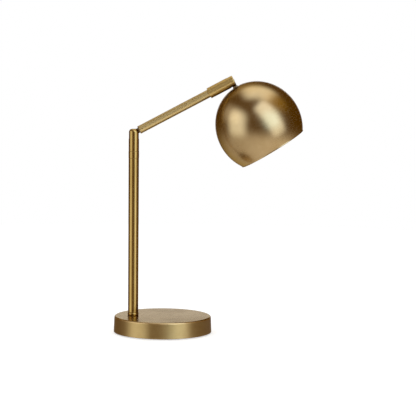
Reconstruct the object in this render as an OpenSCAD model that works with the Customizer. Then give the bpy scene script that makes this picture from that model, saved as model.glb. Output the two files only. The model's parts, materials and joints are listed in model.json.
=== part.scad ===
// Dome shade desk lamp: a weighted disc base, a pole with a turning head, a straight arm on a
// friction knuckle and a spun dome shade on a second knuckle. All lengths are in millimetres.
// The origin is the middle of the underside, +Z is up and the arm reaches out to +X.

/* [Pose] */
// Rise of the arm above the horizontal, in degrees
arm_rise = 28.15; // [0:0.05:60]
// Turn from the arm's own direction down to the way the shade faces, in degrees
shade_turn = 86.35; // [30:0.05:95]

/* [Base] */
// Diameter of the base at its rim
base_d = 152.4; // [140:0.2:190]
// Height of the base from the floor to its top face
base_h = 26.4; // [24:0.1:40]
// How far the side wall leans in over its height
base_draft = 0.9; // [0:0.1:2]
// Rounding of the cover's top edge
base_edge_r = 2.4; // [0.6:0.1:4]
// Sheet thickness of the base cover
cover_t = 1.2; // [0.8:0.1:2]
// Shadow gap between the cover's rim and the floor
rim_gap = 1.4; // [0.5:0.1:1.8]
// Gap between the cover's side wall and the weight inside it
weight_gap = 0.3; // [0.1:0.1:2]
// Thickness of the foot pad
pad_t = 2; // [1.9:0.1:4]
// How far the foot pad stays inside the rim
pad_inset = 8; // [2:0.5:10]

/* [Cord way] */
// Plan angle of the cord gland, from the arm's side round to the back
gland_angle = 120; // [90:5:150]
// Height of the gland's centre above the floor
gland_z = 9.5; // [9.2:0.1:12]
// Hole through the gland, for the cord
gland_bore_d = 6.2; // [5:0.1:7]
// Diameter of the gland's neck
gland_neck_d = 10; // [9:0.1:11]
// Length of the gland inside the cover
gland_neck_l = 12; // [8:0.5:16]
// Diameter of the gland's flange
gland_flange_d = 13; // [12:0.1:14]
// Thickness of the gland's flange
gland_flange_t = 1.6; // [1:0.1:3]
// Space round the gland's neck and the cord, inside the weight
channel_gap = 0.5; // [0.3:0.1:2]

/* [Base fixing] */
// Depth of the nut recess in the weight's underside
recess_h = 12; // [10:0.5:14]
// Diameter of the nut recess
recess_d = 30; // [26:0.5:40]
// Outer diameter of the hollow threaded rod that holds the pole
rod_d = 10; // [8:0.5:10.5]
// Bore of the hollow threaded rod
rod_bore_d = 6.4; // [4:0.1:6.5]
// Length of the rod inside the pole's foot
rod_grip = 14; // [8:0.5:20]
// Length of the rod past its nut
rod_tail = 1.5; // [0.5:0.5:2]
// Width of the rod's nut across its flats
rod_nut_w = 17; // [14:0.5:20]
// Thickness of the rod's nut
rod_nut_t = 5; // [3:0.5:6]
// Diameter of the washer over the rod's nut
rod_washer_d = 24; // [20:0.5:25]
// Thickness of the washer over the rod's nut
rod_washer_t = 1.5; // [1:0.1:2]

/* [Pole] */
// Distance of the pole from the middle of the base
pole_offset = 46.1; // [30:0.1:48]
// Outer diameter of the pole
pole_d = 16; // [15.5:0.1:20]
// Wall thickness of the pole
pole_t = 1; // [0.8:0.1:1.2]
// Length of the pole's tube
pole_l = 240.9; // [150:0.1:400]
// How much wider the foot bush is than the pole
foot_step = 1; // [0.4:0.1:8]
// Height of the foot bush under the pole
foot_h = 4.9; // [3:0.1:12]
// Rounding of the foot bush
foot_edge_r = 1.4; // [0.4:0.1:1.5]
// Length of the foot bush inside the pole
foot_spigot_l = 18; // [10:0.5:30]
// Small chamfer where tubes and collars meet
ease = 0.35; // [0.1:0.05:0.5]

/* [Turning head] */
// Height of the collar band under the head
collar_h = 10.7; // [8:0.1:20]
// How much wider the collar band is than the pole
collar_step = 0.3; // [0:0.1:4]
// Length of the collar inside the pole
collar_spigot_l = 16; // [10:0.5:30]
// Diameter of the hollow bolt that the head turns on
bolt_d = 8; // [6:0.5:8]
// Bore of the hollow bolt
bolt_bore_d = 4.4; // [3:0.1:4.5]
// Length of the hollow bolt inside the knuckle
bolt_grip = 10; // [6:0.5:14]
// Length of the hollow bolt past its nut
bolt_tail = 1.5; // [0.5:0.5:5]
// Height of the conical spring washer
spring_h = 1.4; // [1:0.1:3]
// Sheet thickness of the conical spring washer
spring_t = 0.7; // [0.4:0.1:0.9]
// Width of the bolt's nut across its flats
bolt_nut_w = 11; // [10:0.1:11.4]
// Thickness of the bolt's nut
bolt_nut_t = 4; // [3:0.5:8]
// Diameter of the pin that stops the turn
stop_pin_d = 2; // [1:0.1:2]
// Length of the stop pin inside the knuckle
stop_pin_grip = 5; // [3:0.5:8]
// Depth of the groove that the stop pin runs in
stop_groove_h = 2.6; // [2:0.1:5]
// Width of the web that ends the groove, in degrees
stop_web = 10; // [5:1:40]

/* [Arm knuckle] */
// Diameter of the knuckle on the pole
knuckle_d = 16; // [15:0.1:20]
// Height of the arm's pivot above the collar
pivot_h = 28.4; // [26:0.1:50]
// Height of the knuckle above the pivot
pivot_top = 6.1; // [5.9:0.1:8]
// Rounding of the knuckle's top
knuckle_top_r = 4.6; // [1:0.1:5]
// Width of the slots in both knuckles
slot_w = 5.4; // [4.8:0.1:6]
// Thickness of each friction washer beside a tongue
friction_t = 0.5; // [0.3:0.1:0.8]
// Diameter of the friction washers in the arm's knuckle
arm_friction_d = 9.5; // [9:0.1:10]
// Depth of the arm knuckle's slot below the pivot, with room for the wire
slot_below = 9; // [7:0.1:12]
// Diameter of the arm's pivot screw
arm_screw_d = 4; // [3:0.1:4]
// Head diameter of the arm's pivot screw
arm_head_d = 7; // [6:0.1:7.4]
// Head height of both pivot screws
screw_head_h = 2.8; // [2:0.1:3]
// Metal left in front of the blind tip of both pivot screws
screw_skin = 1.6; // [1:0.1:2]

/* [Arm] */
// Outer diameter of the arm's tube
arm_d = 12.5; // [11.5:0.1:13]
// Wall thickness of the arm's tube
arm_t = 1; // [0.8:0.1:1.2]
// Distance from the arm's pivot to the shoulder of its tongue
arm_start = 9.2; // [9.2:0.1:20]
// Distance from the arm's pivot to the start of the shade's knuckle
arm_reach = 131.2; // [80:0.1:260]
// Thickness of the shoulder that closes the tube's lower end
shoulder_t = 1.2; // [0.6:0.1:4]
// Diameter of the tongue's eye on the arm's pivot
arm_eye_d = 11; // [10:0.1:11.4]
// Height of the tongue between its eye and its shoulder
arm_tongue_w = 8; // [6:0.1:9]
// Length of the plug inside the arm's tube
arm_plug_l = 14; // [8:0.5:30]
// Width of the wire groove under the tongue
wire_groove_w = 2.2; // [1.5:0.1:2.4]
// Depth of the wire groove under the tongue
wire_groove_h = 1.4; // [1:0.1:1.8]

/* [Shade knuckle] */
// Diameter of the knuckle at the shade
head_d = 17; // [16.5:0.1:22]
// Length of the knuckle at the shade
head_l = 43.6; // [38:0.1:80]
// Length of the arm's tube inside the knuckle
head_socket_l = 16; // [8:0.5:18]
// Bore for the wire between the socket and the slot
head_wire_d = 6; // [3:0.1:8]
// Rounding of the knuckle's free end
head_edge_r = 1.2; // [0.4:0.1:2]
// Distance of the shade's pivot from the knuckle's free end
pivot_back = 3.9; // [3.8:0.1:5]
// Depth of the slot behind the shade's pivot
slot_behind = 5.8; // [5.6:0.1:8]
// Diameter of the shade's pivot screw
shade_screw_d = 3; // [2.5:0.1:3]
// Head diameter of the shade's pivot screw
shade_head_d = 5.5; // [4.5:0.1:5.6]
// Diameter of the friction washers in the shade's knuckle
shade_friction_d = 7.4; // [6:0.1:7.6]

/* [Shade] */
// Widest diameter of the shade
shade_d = 133.2; // [100:0.2:140]
// Height of the widest ring above the rim
belly_h = 41.2; // [30:0.1:60]
// Height of the rounded crown above the widest ring
crown_h = 70.5; // [60:0.1:90]
// Sheet thickness of the shade
shade_t = 0.8; // [0.6:0.1:1.5]
// Radius of the rolled bead at the rim
bead_r = 0.9; // [0.8:0.1:2]
// Diameter of the flat on top of the crown, where the stem clamps
flat_d = 18; // [15:0.5:30]
// Distance from the shade's pivot to the top of the crown
neck_l = 10.9; // [10.6:0.1:20]
// Diameter of the eye on the shade's pivot
shade_eye_d = 8.6; // [7.6:0.1:9]
// Width of the stem's flattened neck
neck_w = 6.5; // [5:0.1:7]
// Diameter of the stem's collar on the crown
stem_collar_d = 8.6; // [8.4:0.1:9]
// Thickness of the stem's collar
stem_collar_t = 1.2; // [0.6:0.1:1.3]
// Diameter of the stem's threaded end
stem_d = 8; // [6:0.5:8]
// Bore of the stem, for the wire
stem_bore_d = 3; // [2:0.1:3.4]
// Diameter of the washer inside the crown
crown_washer_d = 15; // [12:0.5:15]
// Thickness of the washer inside the crown
crown_washer_t = 1; // [0.6:0.1:2]
// Width of the crown's nut across its flats
crown_nut_w = 13; // [12:0.5:16]
// Thickness of the crown's nut
crown_nut_t = 4; // [3:0.5:6]

/* [Lampholder] */
// Outer diameter of the lampholder
holder_d = 27; // [24:0.5:30]
// Length of the lampholder
holder_l = 46; // [42:0.5:50]
// Diameter of the lampholder's neck
holder_neck_d = 18; // [14:0.5:22]
// Height of the lampholder's sloping shoulder
holder_slope_h = 8; // [4:0.5:12]
// Length of the stem inside the lampholder
holder_grip = 8; // [5:0.5:10]
// Depth of the lampholder's socket
socket_h = 27; // [26:0.5:30]
// Wall thickness of the threaded contact sleeve
sleeve_t = 0.6; // [0.4:0.1:1]
// Length of the threaded contact sleeve
sleeve_l = 20; // [12:0.5:24]
// Diameter of the centre contact
contact_d = 6; // [4:0.5:8]
// Thickness of the centre contact
contact_t = 1.2; // [0.6:0.1:2]

/* [Bulb] */
// Diameter of the bulb's screw cap
cap_d = 13.9; // [13.5:0.1:14.1]
// Sheet thickness of the bulb's cap
cap_t = 0.5; // [0.3:0.1:0.8]
// Height of the cap's insulated end
cap_end_h = 5; // [3:0.5:8]
// How far the bulb's cap shows below the lampholder
cap_show = 1; // [0:0.5:3]
// Diameter of the bulb's glass
bulb_d = 45; // [35:0.5:50]
// Length of the glass below the cap
bulb_l = 52; // [48:0.5:54]
// Wall thickness of the bulb's glass
bulb_t = 0.8; // [0.6:0.1:1.2]
// Turn up the ball at which its neck leaves it, in degrees
bulb_leave = 46; // [30:1:55]
// How much wider the glass is than its cap, above the cap's edge
bulb_flare = 1.5; // [1:0.1:4]
// Height over which the glass widens by that much
bulb_flare_h = 7; // [3:0.5:7]
// Length of the glass neck inside the cap
bulb_neck_l = 5; // [3:0.5:8]

/* [Fits] */
// Radial gap of a piece pushed or screwed into another
push_fit = 0.05; // [0.02:0.01:0.1]
// Radial gap of a pin that turns in its bore
run_fit = 0.06; // [0.03:0.01:0.1]
// Gap round screw heads and eyes that must not touch
clear_gap = 0.3; // [0.2:0.05:0.5]

/* [Hidden] */
$fn = 96;
HEX = 6;
SPILL = 1;                                      // cutting shapes run past the surface by this much

// heights up the pole
recess_z = pad_t + recess_h;
washer_z = recess_z - rod_washer_t;
rod_nut_z = washer_z - rod_nut_t;
rod_z = rod_nut_z - rod_tail;
pole_z = base_h + foot_h;
collar_z = pole_z + pole_l;
head_z = collar_z + collar_h;
pivot_z = head_z + pivot_h;
spring_z = collar_z - collar_spigot_l - spring_h;
bolt_nut_z = spring_z - bolt_nut_t;
bolt_z = bolt_nut_z - bolt_tail;
pole_bore_r = pole_d / 2 - pole_t;

// radii round the turning head
collar_d = pole_d + collar_step;
stop_pin_at = (bolt_d + min(collar_d, knuckle_d)) / 4;
stop_groove_w = stop_pin_d + 2 * clear_gap;

// sizes across the knuckles
tongue_t = slot_w - 2 * friction_t;
knuckle_l = pivot_h + pivot_top;

// lengths along the arm, from its pivot
shade_pivot_at = arm_reach + head_l - pivot_back;
slot_end_at = shade_pivot_at - slot_behind;
arm_bore_r = arm_d / 2 - arm_t;
tube_start = arm_start + shoulder_t;
tube_end = arm_reach + head_socket_l;

// heights up the shade's own axis, from its rim
flat_turn = acos(flat_d / shade_d);             // where the dome's curve meets the flat
rim_turn = -asin((belly_h - bead_r) / crown_h); // where it meets the middle of the rim's bead
flat_z = belly_h + crown_h * sin(flat_turn);
bead_at = shade_d / 2 * cos(rim_turn) - shade_t / 2;
shade_pivot_z = flat_z + neck_l;
washer_top = flat_z - shade_t;
nut_top = washer_top - crown_washer_t;
holder_top = nut_top - crown_nut_t;
holder_end = holder_top - holder_l;
socket_top = holder_end + socket_h;
cap_r = cap_d / 2;
cap_end = holder_end - cap_show;
cap_tip = socket_top - contact_t;
bulb_end = cap_end - bulb_l;
SHELL_STEP = 3;                                 // degrees between points along a spun outline

// ---- frames that the pieces stand in ----

module at_pole(z) {
    translate([-pole_offset, 0, z]) children();
}

// +Z runs along the arm from its pivot, and local +X points down and out
module along_arm(s) {
    at_pole(pivot_z) rotate([0, 90 - arm_rise, 0]) translate([0, 0, s]) children();
}

// +Z runs up the shade's axis, from the middle of its rim
module in_shade(z) {
    along_arm(shade_pivot_at) rotate([0, shade_turn - 180, 0])
        translate([0, 0, z - shade_pivot_z]) children();
}

module at_gland(r) {
    rotate([0, 0, gland_angle]) translate([r, 0, gland_z]) rotate([0, 90, 0]) children();
}

// ---- shapes that repeat ----

// a round bar with a chamfered lower edge and a rounded upper edge
module turned_bar(d, l, low_ease, top_r) {
    r = d / 2;
    rotate_extrude() intersection() {
        square([r, l]);
        union() {
            polygon([[0, 0], [r - low_ease, 0], [r, low_ease], [r, l - top_r], [0, l - top_r]]);
            square([r - top_r, l]);
            translate([r - top_r, l - top_r]) circle(top_r);
        }
    }
}

// a ring with both outer edges chamfered
module eased_ring(d, bore_d, l) {
    r = d / 2;
    rotate_extrude() polygon([
        [bore_d / 2, 0], [r - ease, 0], [r, ease], [r, l - ease], [r - ease, l], [bore_d / 2, l]
    ]);
}

module washer(d, bore_d, t) {
    difference() {
        cylinder(h = t, d = d);
        translate([0, 0, -SPILL]) cylinder(h = t + 2 * SPILL, d = bore_d);
    }
}

module hex_nut(w, bore_d, t) {
    difference() {
        cylinder(h = t, d = w / cos(180 / HEX), $fn = HEX);
        translate([0, 0, -SPILL]) cylinder(h = t + 2 * SPILL, d = bore_d);
    }
}

// a pivot screw along Y: its head sits in the back ear and its tip ends blind in the front ear
module pivot_screw(d, head_d, across) {
    key_w = 0.36 * head_d;
    tip_y = screw_skin - across / 2 + clear_gap;
    head_y = across / 2 - clear_gap - screw_head_h;
    rotate([-90, 0, 0]) difference() {
        union() {
            translate([0, 0, tip_y]) cylinder(h = head_y - tip_y, d = d);
            translate([0, 0, head_y]) cylinder(h = screw_head_h, d = head_d);
        }
        translate([0, 0, head_y + screw_head_h / 2])
            cylinder(h = screw_head_h, d = key_w / cos(180 / HEX), $fn = HEX);
    }
}

// the hole for that screw: a thread in the front ear, a seat for the head in the back one
module pivot_hole(d, head_d, across) {
    hole_y = screw_skin - across / 2;
    head_y = across / 2 - clear_gap - screw_head_h;
    rotate([-90, 0, 0]) {
        translate([0, 0, hole_y]) cylinder(h = across, r = d / 2 + push_fit);
        translate([0, 0, head_y]) cylinder(h = across, r = head_d / 2 + clear_gap / 2);
    }
}

module friction_washer(side, d, bore_d) {
    near_y = side > 0 ? tongue_t / 2 : -slot_w / 2;
    translate([0, near_y, 0]) rotate([-90, 0, 0]) washer(d, bore_d, friction_t);
}

// ---- base ----

function wall_r(z) = base_d / 2 - base_draft * (z - rim_gap) / (base_h - rim_gap);

// the base's outline, drawn in by side_in and top_in, from floor_z up
module base_form(side_in, top_in, floor_z) {
    edge_r = max(base_edge_r - top_in, ease);
    shoulder_z = base_h - top_in - edge_r;
    r1 = wall_r(floor_z) - side_in;
    r2 = wall_r(shoulder_z) - side_in;
    rotate_extrude() {
        polygon([[0, floor_z], [r1, floor_z], [r2, shoulder_z], [0, shoulder_z]]);
        translate([0, shoulder_z]) square([r2 - edge_r, edge_r]);
        intersection() {
            translate([r2 - edge_r, shoulder_z]) circle(edge_r);
            translate([r2 - 2 * edge_r, shoulder_z]) square(2 * edge_r);
        }
    }
}

module rod_hole() {
    at_pole(0) cylinder(h = base_h + SPILL, r = rod_d / 2 + clear_gap);
}

module base_cover() {
    color([0.66, 0.55, 0.34]) difference() {
        base_form(0, 0, rim_gap);
        base_form(cover_t, cover_t, rim_gap - SPILL);
        rod_hole();
        at_gland(base_d / 4) cylinder(h = base_d / 2, r = gland_neck_d / 2 + push_fit);
    }
}

// the way of the cord under the weight: in at the gland, then over to the pole's nut
module cord_channel() {
    w = gland_neck_d + 2 * channel_gap;
    inner_r = base_d / 2 - gland_neck_l - w;
    turn_x = inner_r * cos(gland_angle);
    turn_y = inner_r * sin(gland_angle);
    run_x = turn_x + pole_offset;
    translate([0, 0, pad_t - SPILL]) linear_extrude(gland_z + w / 2 - pad_t + SPILL) {
        rotate(gland_angle) translate([inner_r, -w / 2]) square([base_d / 2, w]);
        translate([turn_x, turn_y]) circle(d = w + 2 * channel_gap);
        translate([-pole_offset, 0]) rotate(atan2(turn_y, run_x))
            translate([0, -w / 2]) square([norm([run_x, turn_y]), w]);
    }
}

module base_weight() {
    color([0.23, 0.22, 0.21]) difference() {
        base_form(cover_t + weight_gap, cover_t, pad_t);
        at_pole(pad_t - SPILL) cylinder(h = recess_h + SPILL, d = recess_d);
        cord_channel();
        rod_hole();
    }
}

module base_pad() {
    color([0.07, 0.07, 0.07]) cylinder(h = pad_t, r = base_d / 2 - pad_inset);
}

module cord_gland() {
    color([0.06, 0.06, 0.06]) difference() {
        union() {
            at_gland(base_d / 2 - gland_neck_l) cylinder(h = gland_neck_l + SPILL, d = gland_neck_d);
            at_gland(base_d / 2) cylinder(h = gland_flange_t, d = gland_flange_d);
        }
        at_gland(base_d / 2 - gland_neck_l - SPILL)
            cylinder(h = gland_neck_l + gland_flange_t + 2 * SPILL, d = gland_bore_d);
    }
}

module base_rod() {
    color([0.75, 0.72, 0.62]) at_pole(rod_z) washer(rod_d, rod_bore_d, pole_z + rod_grip - rod_z);
}

module base_washer() {
    color([0.7, 0.7, 0.7]) at_pole(washer_z) washer(rod_washer_d, rod_d + 2 * push_fit, rod_washer_t);
}

module base_nut() {
    color([0.7, 0.7, 0.7]) at_pole(rod_nut_z) hex_nut(rod_nut_w, rod_d + 2 * push_fit, rod_nut_t);
}

// ---- pole ----

module foot_bush() {
    r = pole_d / 2 + foot_step / 2;
    color([0.66, 0.55, 0.34]) at_pole(base_h) difference() {
        union() {
            rotate_extrude() {
                square([r - foot_edge_r, foot_h]);
                translate([0, foot_edge_r]) square([r, foot_h - 2 * foot_edge_r]);
                for (z = [foot_edge_r, foot_h - foot_edge_r])
                    intersection() {
                        translate([r - foot_edge_r, z]) circle(foot_edge_r);
                        square([r, foot_h]);
                    }
            }
            cylinder(h = foot_h + foot_spigot_l, r = pole_bore_r - push_fit);
        }
        translate([0, 0, -SPILL])
            cylinder(h = foot_h + foot_spigot_l + 2 * SPILL, r = rod_d / 2 + push_fit);
    }
}

module pole_tube() {
    color([0.66, 0.55, 0.34]) at_pole(pole_z) eased_ring(pole_d, 2 * pole_bore_r, pole_l);
}

// the band at the pole's top, with the bearing for the turning head and its stop groove
module swivel_collar() {
    color([0.66, 0.55, 0.34]) at_pole(collar_z) difference() {
        union() {
            eased_ring(collar_d, bolt_d / 2, collar_h);
            translate([0, 0, -collar_spigot_l])
                cylinder(h = collar_spigot_l + SPILL, r = pole_bore_r - push_fit);
        }
        translate([0, 0, -collar_spigot_l - SPILL])
            cylinder(h = collar_spigot_l + collar_h + 2 * SPILL, r = bolt_d / 2 + run_fit);
        translate([0, 0, collar_h - stop_groove_h]) rotate([0, 0, stop_web / 2 - 180])
            rotate_extrude(angle = 360 - stop_web)
                translate([stop_pin_at - stop_groove_w / 2, 0])
                    square([stop_groove_w, stop_groove_h + SPILL]);
    }
}

// ---- turning head ----

module lower_knuckle() {
    color([0.66, 0.55, 0.34]) at_pole(head_z) difference() {
        turned_bar(knuckle_d, knuckle_l, ease, knuckle_top_r);
        translate([-knuckle_d, -slot_w / 2, pivot_h - slot_below])
            cube([2 * knuckle_d, slot_w, slot_below + pivot_top + SPILL]);
        translate([0, 0, -SPILL]) {
            cylinder(h = bolt_grip + SPILL, r = bolt_d / 2 + push_fit);
            cylinder(h = pivot_h - slot_below + 2 * SPILL, d = bolt_bore_d);
            translate([stop_pin_at, 0, 0]) cylinder(h = stop_pin_grip + SPILL, r = stop_pin_d / 2 + push_fit);
        }
        translate([0, 0, pivot_h]) pivot_hole(arm_screw_d, arm_head_d, knuckle_d);
    }
}

module swivel_bolt() {
    color([0.75, 0.72, 0.62]) at_pole(bolt_z) washer(bolt_d, bolt_bore_d, head_z + bolt_grip - bolt_z);
}

// a cone of spring sheet, high side up, that keeps the head's turn firm
module swivel_spring() {
    inner_r = bolt_d / 2 + clear_gap;
    outer_r = pole_bore_r - clear_gap;
    color([0.55, 0.56, 0.58]) at_pole(spring_z) rotate_extrude() polygon([
        [inner_r, spring_h - spring_t], [outer_r, 0], [outer_r, spring_t], [inner_r, spring_h]
    ]);
}

module swivel_nut() {
    color([0.75, 0.72, 0.62]) at_pole(bolt_nut_z) hex_nut(bolt_nut_w, bolt_d + 2 * push_fit, bolt_nut_t);
}

module stop_pin() {
    below = stop_groove_h - clear_gap;
    color([0.7, 0.7, 0.7]) at_pole(head_z - below) translate([stop_pin_at, 0, 0])
        cylinder(h = below + stop_pin_grip, d = stop_pin_d);
}

module arm_screw() {
    color([0.6, 0.5, 0.32]) at_pole(pivot_z) pivot_screw(arm_screw_d, arm_head_d, knuckle_d);
}

// ---- arm ----

// a turned plug milled flat to a tongue, with an eye for the pivot and a groove for the wire
module arm_tongue() {
    plug_end = tube_start + arm_plug_l;
    color([0.5, 0.41, 0.25]) along_arm(0) difference() {
        union() {
            rotate([90, 0, 0]) cylinder(h = tongue_t, d = arm_eye_d, center = true);
            translate([-arm_tongue_w / 2, -tongue_t / 2, 0]) cube([arm_tongue_w, tongue_t, tube_start]);
            translate([0, 0, arm_start]) cylinder(h = shoulder_t, d = arm_d);
            translate([0, 0, arm_start]) cylinder(h = plug_end - arm_start, r = arm_bore_r - push_fit);
        }
        rotate([90, 0, 0]) cylinder(h = tongue_t + SPILL, r = arm_screw_d / 2 + run_fit, center = true);
        translate([arm_tongue_w / 2 - wire_groove_h, -wire_groove_w / 2, arm_eye_d / 2])
            cube([wire_groove_h, wire_groove_w, plug_end]);
    }
}

module arm_friction_front() {
    color([0.1, 0.1, 0.1]) along_arm(0)
        friction_washer(-1, arm_friction_d, arm_screw_d + 2 * clear_gap);
}

module arm_friction_back() {
    color([0.1, 0.1, 0.1]) along_arm(0)
        friction_washer(1, arm_friction_d, arm_screw_d + 2 * clear_gap);
}

module arm_tube() {
    color([0.64, 0.54, 0.36]) along_arm(tube_start)
        eased_ring(arm_d, 2 * arm_bore_r, tube_end - tube_start);
}

module shade_knuckle() {
    color([0.66, 0.55, 0.34]) along_arm(arm_reach) difference() {
        turned_bar(head_d, head_l, ease, head_edge_r);
        translate([0, 0, -SPILL]) {
            cylinder(h = head_socket_l + SPILL, r = arm_d / 2 + push_fit);
            cylinder(h = head_l, d = head_wire_d);
        }
        translate([-head_d, -slot_w / 2, slot_end_at - arm_reach])
            cube([2 * head_d, slot_w, head_l]);
        translate([0, 0, head_l - pivot_back]) pivot_hole(shade_screw_d, shade_head_d, head_d);
    }
}

module shade_screw() {
    color([0.6, 0.5, 0.32]) along_arm(shade_pivot_at) pivot_screw(shade_screw_d, shade_head_d, head_d);
}

// ---- shade ----

// a turned stem milled to an eye, drilled for the wire, with a collar that sits on the crown
module shade_stem() {
    stem_end = holder_top - holder_grip;
    color([0.5, 0.41, 0.25]) in_shade(0) difference() {
        union() {
            translate([0, 0, shade_pivot_z]) rotate([90, 0, 0])
                cylinder(h = tongue_t, d = shade_eye_d, center = true);
            translate([-neck_w / 2, -tongue_t / 2, flat_z]) cube([neck_w, tongue_t, neck_l]);
            translate([0, 0, flat_z]) cylinder(h = stem_collar_t, d = stem_collar_d);
            translate([0, 0, stem_end]) cylinder(h = flat_z - stem_end, d = stem_d);
        }
        translate([0, 0, shade_pivot_z]) {
            rotate([90, 0, 0]) cylinder(h = tongue_t + SPILL, r = shade_screw_d / 2 + run_fit, center = true);
            translate([-neck_w, -tongue_t, 0]) difference() {
                cube([2 * neck_w, 2 * tongue_t, shade_eye_d]);
                translate([neck_w, tongue_t, 0]) rotate([90, 0, 0])
                    cylinder(h = 3 * tongue_t, d = shade_eye_d, center = true);
            }
        }
        translate([0, 0, stem_end - SPILL]) cylinder(h = flat_z - stem_end + SPILL, d = stem_bore_d);
        translate([0, 0, flat_z - stem_bore_d]) rotate([0, -40, 0])
            cylinder(h = 2 * neck_l, d = stem_bore_d);
    }
}

module shade_friction_front() {
    color([0.1, 0.1, 0.1]) in_shade(shade_pivot_z)
        friction_washer(-1, shade_friction_d, shade_screw_d + 2 * clear_gap);
}

module shade_friction_back() {
    color([0.1, 0.1, 0.1]) in_shade(shade_pivot_z)
        friction_washer(1, shade_friction_d, shade_screw_d + 2 * clear_gap);
}

// a point of the dome's outline at one turn of its ellipse, drawn in square to the surface
function dome_point(turn, inset) =
    let (
        a = shade_d / 2,
        q = norm([crown_h * cos(turn), a * sin(turn)])
    ) [
        a * cos(turn) - inset * crown_h * cos(turn) / q,
        belly_h + crown_h * sin(turn) - inset * a * sin(turn) / q
    ];

function dome_outline(inset) = [
    for (i = [0 : round((flat_turn - rim_turn) / SHELL_STEP)])
        dome_point(rim_turn + (flat_turn - rim_turn) * i / round((flat_turn - rim_turn) / SHELL_STEP), inset)
];

module dome_shade() {
    outer = dome_outline(0);
    inner = dome_outline(shade_t);
    inside = [for (i = [len(inner) - 1 : -1 : 0]) [inner[i][0], min(inner[i][1], washer_top)]];
    color([0.66, 0.55, 0.34]) in_shade(0) difference() {
        rotate_extrude() {
            polygon(concat(outer, [[0, flat_z], [0, washer_top]], inside));
            translate([bead_at, bead_r]) circle(bead_r);
        }
        translate([0, 0, washer_top - SPILL])
            cylinder(h = shade_t + 2 * SPILL, r = stem_d / 2 + push_fit);
    }
}

module crown_washer() {
    color([0.7, 0.7, 0.7]) in_shade(nut_top) washer(crown_washer_d, stem_d + 2 * push_fit, crown_washer_t);
}

module crown_nut() {
    color([0.7, 0.7, 0.7]) in_shade(holder_top) hex_nut(crown_nut_w, stem_d + 2 * push_fit, crown_nut_t);
}

module lampholder() {
    neck_r = holder_neck_d / 2;
    holder_r = holder_d / 2;
    color([0.9, 0.89, 0.86]) in_shade(holder_end) difference() {
        rotate_extrude() polygon([
            [0, 0], [holder_r, 0], [holder_r, holder_l - holder_slope_h - holder_grip / 2],
            [neck_r, holder_l - holder_grip / 2], [neck_r, holder_l], [0, holder_l]
        ]);
        translate([0, 0, -SPILL]) cylinder(h = socket_h + SPILL, r = cap_r + sleeve_t + 2 * push_fit);
        translate([0, 0, holder_l - holder_grip])
            cylinder(h = holder_grip + SPILL, r = stem_d / 2 + push_fit);
        cylinder(h = holder_l, d = stem_bore_d);
    }
}

module contact_sleeve() {
    bore_r = cap_r + push_fit;
    color([0.8, 0.65, 0.35]) in_shade(socket_top - cap_end_h - sleeve_l)
        washer(2 * (bore_r + sleeve_t), 2 * bore_r, sleeve_l);
}

module centre_contact() {
    color([0.8, 0.65, 0.35]) in_shade(cap_tip) cylinder(h = contact_t, d = contact_d);
}

// ---- bulb ----

module bulb_cap() {
    cap_l = cap_tip - cap_end;
    color([0.78, 0.78, 0.76]) in_shade(cap_end) rotate_extrude() polygon([
        [cap_r - cap_t, 0], [cap_r, 0], [cap_r, cap_l - cap_end_h], [contact_d / 2, cap_l], [0, cap_l],
        [0, cap_l - cap_end_h], [cap_r - cap_t, cap_l - cap_end_h]
    ]);
}

// half the glass's outline: a ball that runs into a neck, drawn in by inset
module bulb_half(inset, over) {
    ball_r = bulb_d / 2;
    neck_r = cap_r - cap_t - push_fit - inset;
    intersection() {
        translate([0, ball_r]) circle(ball_r - inset);
        square([ball_r, bulb_d]);
    }
    polygon([
        [0, ball_r],
        [(ball_r - inset) * cos(bulb_leave), ball_r + (ball_r - inset) * sin(bulb_leave)],
        [cap_r + bulb_flare - inset, bulb_l - bulb_flare_h], [cap_r - inset, bulb_l],
        [neck_r, bulb_l], [neck_r, bulb_l + bulb_neck_l + over], [0, bulb_l + bulb_neck_l + over]
    ]);
}

module bulb_glass() {
    color([0.93, 0.93, 0.9]) in_shade(bulb_end) rotate_extrude() difference() {
        bulb_half(0, 0);
        bulb_half(bulb_t, SPILL);
    }
}

base_cover();
base_weight();
base_pad();
cord_gland();
base_rod();
base_washer();
base_nut();
foot_bush();
pole_tube();
swivel_collar();
lower_knuckle();
swivel_bolt();
swivel_spring();
swivel_nut();
stop_pin();
arm_screw();
arm_tongue();
arm_friction_front();
arm_friction_back();
arm_tube();
shade_knuckle();
shade_screw();
shade_stem();
shade_friction_front();
shade_friction_back();
dome_shade();
crown_washer();
crown_nut();
lampholder();
contact_sleeve();
centre_contact();
bulb_cap();
bulb_glass();
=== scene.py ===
"""Dome shade desk lamp, dressed for a studio picture.

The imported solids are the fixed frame, and every piece takes its place and main sizes from them. Each
operator makes one piece of the lamp, or a few alike, as surfaces of revolution, or gives fittings their
finish. The last one sets the floor, the light and the camera. Lengths are in metres in the frame's own
axes: +Z up, the arm towards +X, the front at -Y.
"""

import json
import math

import bmesh
import bpy
import numpy as np
from bpy.props import FloatProperty, FloatVectorProperty, IntProperty, PointerProperty
from mathutils import Matrix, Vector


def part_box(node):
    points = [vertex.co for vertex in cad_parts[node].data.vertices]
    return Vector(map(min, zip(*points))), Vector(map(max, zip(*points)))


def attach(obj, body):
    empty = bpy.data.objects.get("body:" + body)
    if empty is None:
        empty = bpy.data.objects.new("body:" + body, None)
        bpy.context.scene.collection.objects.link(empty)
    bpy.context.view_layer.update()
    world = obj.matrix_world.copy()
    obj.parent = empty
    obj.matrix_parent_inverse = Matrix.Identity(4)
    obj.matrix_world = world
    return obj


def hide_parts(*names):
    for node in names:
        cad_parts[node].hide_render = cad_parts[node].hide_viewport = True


bl_info = {
    "name": "Dome shade desk lamp",
    "version": (1, 0, 0),
    "blender": (4, 5, 0),
    "location": "View3D > Sidebar > Desk lamp",
    "description": "Builds a satin brass desk lamp with a dome shade over its solid model",
    "category": "Object",
}

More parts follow.
